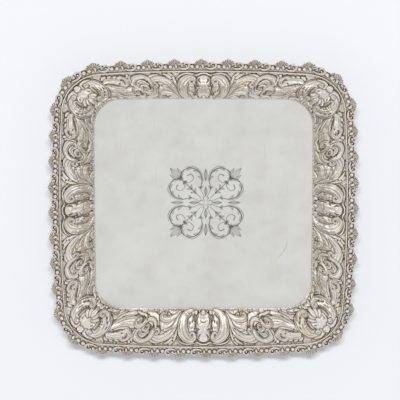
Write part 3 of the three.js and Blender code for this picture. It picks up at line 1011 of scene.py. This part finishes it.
def cast_shell():
    """Nine ribs that fan out from the hub, and the curled lobe below it."""
    for rib in (4, -4, 3, -3, 2, -2, 1, -1, 0):
        angle = rib * SHELL_FAN
        tip = (SHELL_RIB * math.sin(angle), SHELL_HUB + SHELL_RIB * math.cos(angle))
        mould([(0, SHELL_HUB), tip], [0.4, 0.84], [1.7, 1.1], back=2, line=0.5, line_width=0.4)
    mould([(-1.5, 3.1), (-1.4, 4.6), (-1.1, 6.0)], [0.7, 1.35, 1.0], 2.1, back=2, line=0.5)


def cast_beads():
    """Two round beads under a thin bar."""
    mould([(4.6, 7.2), (8, 7.0), (11, 7.2)], [0.45, 0.55, 0.4], 0.9, back=2)
    for x in (8.0, 3.5):
        mould([(x, 4.2), (x + 0.05, 4.2)], 1.85, 2.35, back=2, line=0.6)


for part in (cast_fillet, cast_scroll, cast_shell, cast_beads):
    part()

# Tarnish fills the castings' pits and the shells, and the polished fillet has none. The pits'
# darkening is partly painted shade.
FILLET_EDGE, SHELL_START, SHELL_HALF = CAST_INNER + 0.6, 6.2, 6.5
CAST_TARNISH, PIT_TARNISH_AND_SHADE, BARE_TARNISH, CREVICE_TARNISH, SHELL_TARNISH = 0.03, 0.36, 0.15, 0.6, 0.2
pit = np.clip(blurred(repeat["height"], 9) - repeat["height"], 0, None)
bare = repeat["cover"] < 0.5
reach_out = repeat["y"][:, None]
beyond_fillet = np.clip((reach_out - FILLET_EDGE) / 0.4, 0, 1)
on_shell = np.clip((reach_out - SHELL_START) / 1.5, 0, 1) * (np.abs(repeat["x"] - REPEAT / 2) < SHELL_HALF)
repeat["tarnish_and_shade"] = beyond_fillet * np.clip(
    CAST_TARNISH
    + PIT_TARNISH_AND_SHADE * pit
    + BARE_TARNISH * bare
    + blurred(repeat["lines"] * CREVICE_TARNISH * (1 + on_shell), 1.2)
    + SHELL_TARNISH * blurred(on_shell, 5),
    0,
    1,
)
repeat["height"] = blurred(repeat["height"], 1.0)


def border_reach(x):
    """How far the casting stands out from the seam, from the shell's middle anticlockwise."""
    peak = np.clip(1 - np.abs(x) / SHELL_SPREAD, 0, 1)
    ribs = np.abs(np.cos(math.pi * np.arctan(x / SHELL_HUB) / SHELL_FAN))
    notch = SHELL_NOTCH * (ribs - 1) * (peak > 0)
    scroll = SCROLL_SWELL * np.exp(-(((x - SCROLL_MIDDLE) / SCROLL_SPREAD) ** 2))
    return WEB_REACH + scroll + (SHELL_REACH - WEB_REACH) * peak**SHELL_FULLNESS + notch


def border_at(along):
    """Points and outward directions of the seam, on past the corners."""
    side = np.rint(along / (2 * seam_length))
    flat, facing = seam_at(along - side * 2 * seam_length)
    c, s = np.cos(side * math.pi / 2), np.sin(side * math.pi / 2)
    return spun(flat, c, s), spun(facing, c, s)


CAST_COLUMNS = 1150
CAST_ROWS = 52
OUTER_ROUND, INNER_ROUND = 0.7, 0.4
CAST_EDGE_SHARE = 0.35  # of the casting's height, which stands up sheer at its edges
cast_silver = silver("cast_silver", WORN, WORN_YELLOWED, BROWN_TARNISH_AND_SHADE, 0.36, 0.6, 0.25 * MM, 0.01 * MM)


def casting_place(quarters):
    """The place function of one casting: its underside, its inner edge, its face and its outer edge."""

    def place(along_share, around_share):
        length = REPEATS * REPEAT - SOLDER_JOINT
        from_start = along_share * length + SOLDER_JOINT / 2
        x = from_start % REPEAT - REPEAT / 2
        along = REPEAT_OFFSET - REPEAT / 2 + from_start
        row = np.rint(around_share * (CAST_ROWS + 1)).astype(int)
        top = (row > 0) & (row < CAST_ROWS)
        out = np.clip((row - 1) / (CAST_ROWS - 2), 0, 1) * (row < CAST_ROWS + 1)
        edge = border_reach(x)
        reach = -CAST_INNER + out * (edge + CAST_INNER)
        drawn_x, drawn_y = x + REPEAT / 2, reach + CAST_INNER
        from_outer = np.clip((edge - reach) / OUTER_ROUND, 0, 1)
        from_inner = np.clip((reach + CAST_INNER) / INNER_ROUND, 0, 1)
        curve = np.sqrt(1 - (1 - np.minimum(from_outer, from_inner)) ** 2)
        rounded = CAST_EDGE_SHARE + (1 - CAST_EDGE_SHARE) * curve
        height = (CAST_GROUND + sampled(repeat, "height", drawn_x, drawn_y)) * rounded
        flat, facing = border_at(along)
        flat = flat + facing * reach[:, None]
        z = CAST_LOW + np.where(top, height, 0)
        points = np.concatenate([flat, z[:, None]], axis=1)
        return turned(points, quarters), sampled(repeat, "tarnish_and_shade", drawn_x, drawn_y)

    return place


for quarters, ends in enumerate(("right_to_back", "back_to_left", "left_to_front", "front_to_right")):
    casting = rolled_grid(f"border_{ends}", CAST_COLUMNS, CAST_ROWS + 2, casting_place(quarters))
    casting.data.materials.append(cast_silver)
    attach(casting, "root")
    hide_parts(f"border_casting_{ends}")

# ---------------------------------------------------------------- the scroll feet
# Four small cast feet soldered under the panel's corners. Each is a C-scroll whose knee faces the
# corner and carries a ribbed shell, and it stands on a round sole. All four are from one mould.
FOOT_INSET = 21.0  # of each foot's middle from the panel's corner
FOOT_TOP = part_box("foot_back_right")[1][2] / MM
LEG_SIDES = 24
GROOVE_HALF, GROOVE_DEPTH = 0.3, 0.16  # as shares of the leg's half thickness and half width
KNEE_CENTRE = Vector((5.0, 0, 8.3))
KNEE_SIZE = Vector((2.5, 6.9, 3.5))
KNEE_RIBS, KNEE_FLUTE, KNEE_FRONT_FLUTE = 7, 0.07, 0.16  # flutes as shares of its size
KNEE_FAN_FOOT, KNEE_FAN_STRETCH = 1.05, 1.2
LEG_TARNISH, KNEE_TARNISH, GROOVE_TARNISH = 0.2, 0.18, 0.5
SOLE_RADIUS, SOLE_HEIGHT, SOLE_ROUND = 4.0, 1.2, 0.35
PAD_SIZE, PAD_MIDDLE, PAD_ROUND = Vector((13.6, 5.8, 1.2)), -2.1, 0.4
leg_line = smooth_line(
    [(-7.6, 10.6), (-3.5, 10.9), (1.5, 10.9), (4.9, 9.6), (5.0, 7.0), (2.2, 4.6), (0, 2.8), (0, 0.9)]
)
leg_thick = spread([0.7, 1.0, 1.05, 1.9, 2.2, 1.8, 1.5, 2.0], len(leg_line))
leg_wide = spread([2.2, 3.0, 3.0, 3.2, 3.2, 2.4, 1.8, 2.6], len(leg_line))


def edges_of(verts):
    """The edges that meet at some vertices, each once."""
    return list(dict.fromkeys(edge for vert in verts for edge in vert.link_edges))


def add_leg(bm, tarnish_and_shade):
    """The scroll: rings across its line, bridged, with a groove down each side."""
    rings = []
    steps = np.gradient(leg_line, axis=0)
    for (x, z), (dx, dz), thick, wide in zip(leg_line, steps, leg_thick, leg_wide):
        ring = bmesh.ops.create_circle(bm, segments=LEG_SIDES, radius=1.0)["verts"]
        pitch = math.atan2(dx, dz)
        for vert in ring:
            groove = math.exp(-((vert.co.x / GROOVE_HALF) ** 2))
            vert[tarnish_and_shade] = LEG_TARNISH + GROOVE_TARNISH * groove
            vert.co = Vector((vert.co.x * thick, vert.co.y * wide * (1 - GROOVE_DEPTH * groove), 0))
        turn = Matrix.Translation((x, 0, z)) @ Matrix.Rotation(pitch, 4, "Y")
        bmesh.ops.transform(bm, matrix=turn, verts=ring)
        rings.append(edges_of(ring))
    for below, above in zip(rings, rings[1:]):
        bmesh.ops.bridge_loops(bm, edges=below + above)
    for ring in (rings[0], rings[-1]):
        bmesh.ops.holes_fill(bm, edges=[edge for edge in ring if edge.is_boundary], sides=0)


def add_knee_shell(bm, tarnish_and_shade):
    """A fan of ribs that spreads from the shell's foot."""
    ball = bmesh.ops.create_uvsphere(bm, u_segments=72, v_segments=40, radius=1.0)["verts"]
    for vert in ball:
        rise = (vert.co.z + KNEE_FAN_FOOT) * KNEE_SIZE.z * KNEE_FAN_STRETCH
        fan = math.atan2(vert.co.y * KNEE_SIZE.y, rise)
        hollow = 0.5 - 0.5 * math.cos(2 * KNEE_RIBS * fan)
        vert[tarnish_and_shade] = KNEE_TARNISH + GROOVE_TARNISH * hollow
        size = KNEE_SIZE * (1 - KNEE_FLUTE * hollow)
        size.x *= 1 - KNEE_FRONT_FLUTE * hollow
        vert.co = vert.co * size
    bmesh.ops.translate(bm, verts=ball, vec=KNEE_CENTRE)


def add_sole(bm):
    """The round foot that stands on the table, with softened rims."""
    disc = bmesh.ops.create_cone(
        bm, cap_ends=True, segments=48, radius1=SOLE_RADIUS, radius2=SOLE_RADIUS, depth=SOLE_HEIGHT
    )["verts"]
    bmesh.ops.translate(bm, verts=disc, vec=(0, 0, SOLE_HEIGHT / 2))
    rims = [edge for edge in edges_of(disc) if abs(edge.verts[0].co.z - edge.verts[1].co.z) < 0.1]
    bmesh.ops.bevel(bm, geom=rims, offset=SOLE_ROUND, affect="EDGES", segments=3, profile=0.5, material=-1)


def add_pad(bm):
    """The flat tongue under the panel that takes the solder."""
    pad = bmesh.ops.create_cube(bm, size=1.0)["verts"]
    bmesh.ops.scale(bm, verts=pad, vec=PAD_SIZE)
    bmesh.ops.translate(bm, verts=pad, vec=(PAD_MIDDLE, 0, FOOT_TOP - PAD_SIZE.z / 2))
    bmesh.ops.bevel(
        bm, geom=edges_of(pad), offset=PAD_ROUND, affect="EDGES", segments=3, profile=0.5, material=-1
    )


corner_point, _ = panel_at(np.array([panel_length]))
foot_reach = np.linalg.norm(corner_point) - FOOT_INSET
for quarter, corner in enumerate(("back_right", "back_left", "front_left", "front_right")):
    bm = bmesh.new()
    tarnish_and_shade = bm.verts.layers.float.new("tarnish_and_shade")
    add_leg(bm, tarnish_and_shade)
    add_knee_shell(bm, tarnish_and_shade)
    add_sole(bm)
    add_pad(bm)
    bmesh.ops.recalc_face_normals(bm, faces=bm.faces)
    for face in bm.faces:
        face.smooth = True
    turn = Matrix.Rotation((quarter + 0.5) * math.pi / 2, 4, "Z")
    place = Matrix.Scale(MM, 4) @ turn @ Matrix.Translation((foot_reach, 0, 0))
    bmesh.ops.transform(bm, matrix=place, verts=bm.verts)
    foot_mesh = bpy.data.meshes.new(f"scroll_foot_{corner}")
    bm.to_mesh(foot_mesh)
    bm.free()
    foot = bpy.data.objects.new(f"scroll_foot_{corner}", foot_mesh)
    bpy.context.collection.objects.link(foot)
    foot_mesh.materials.append(cast_silver)
    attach(foot, "root")
    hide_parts(f"foot_{corner}")
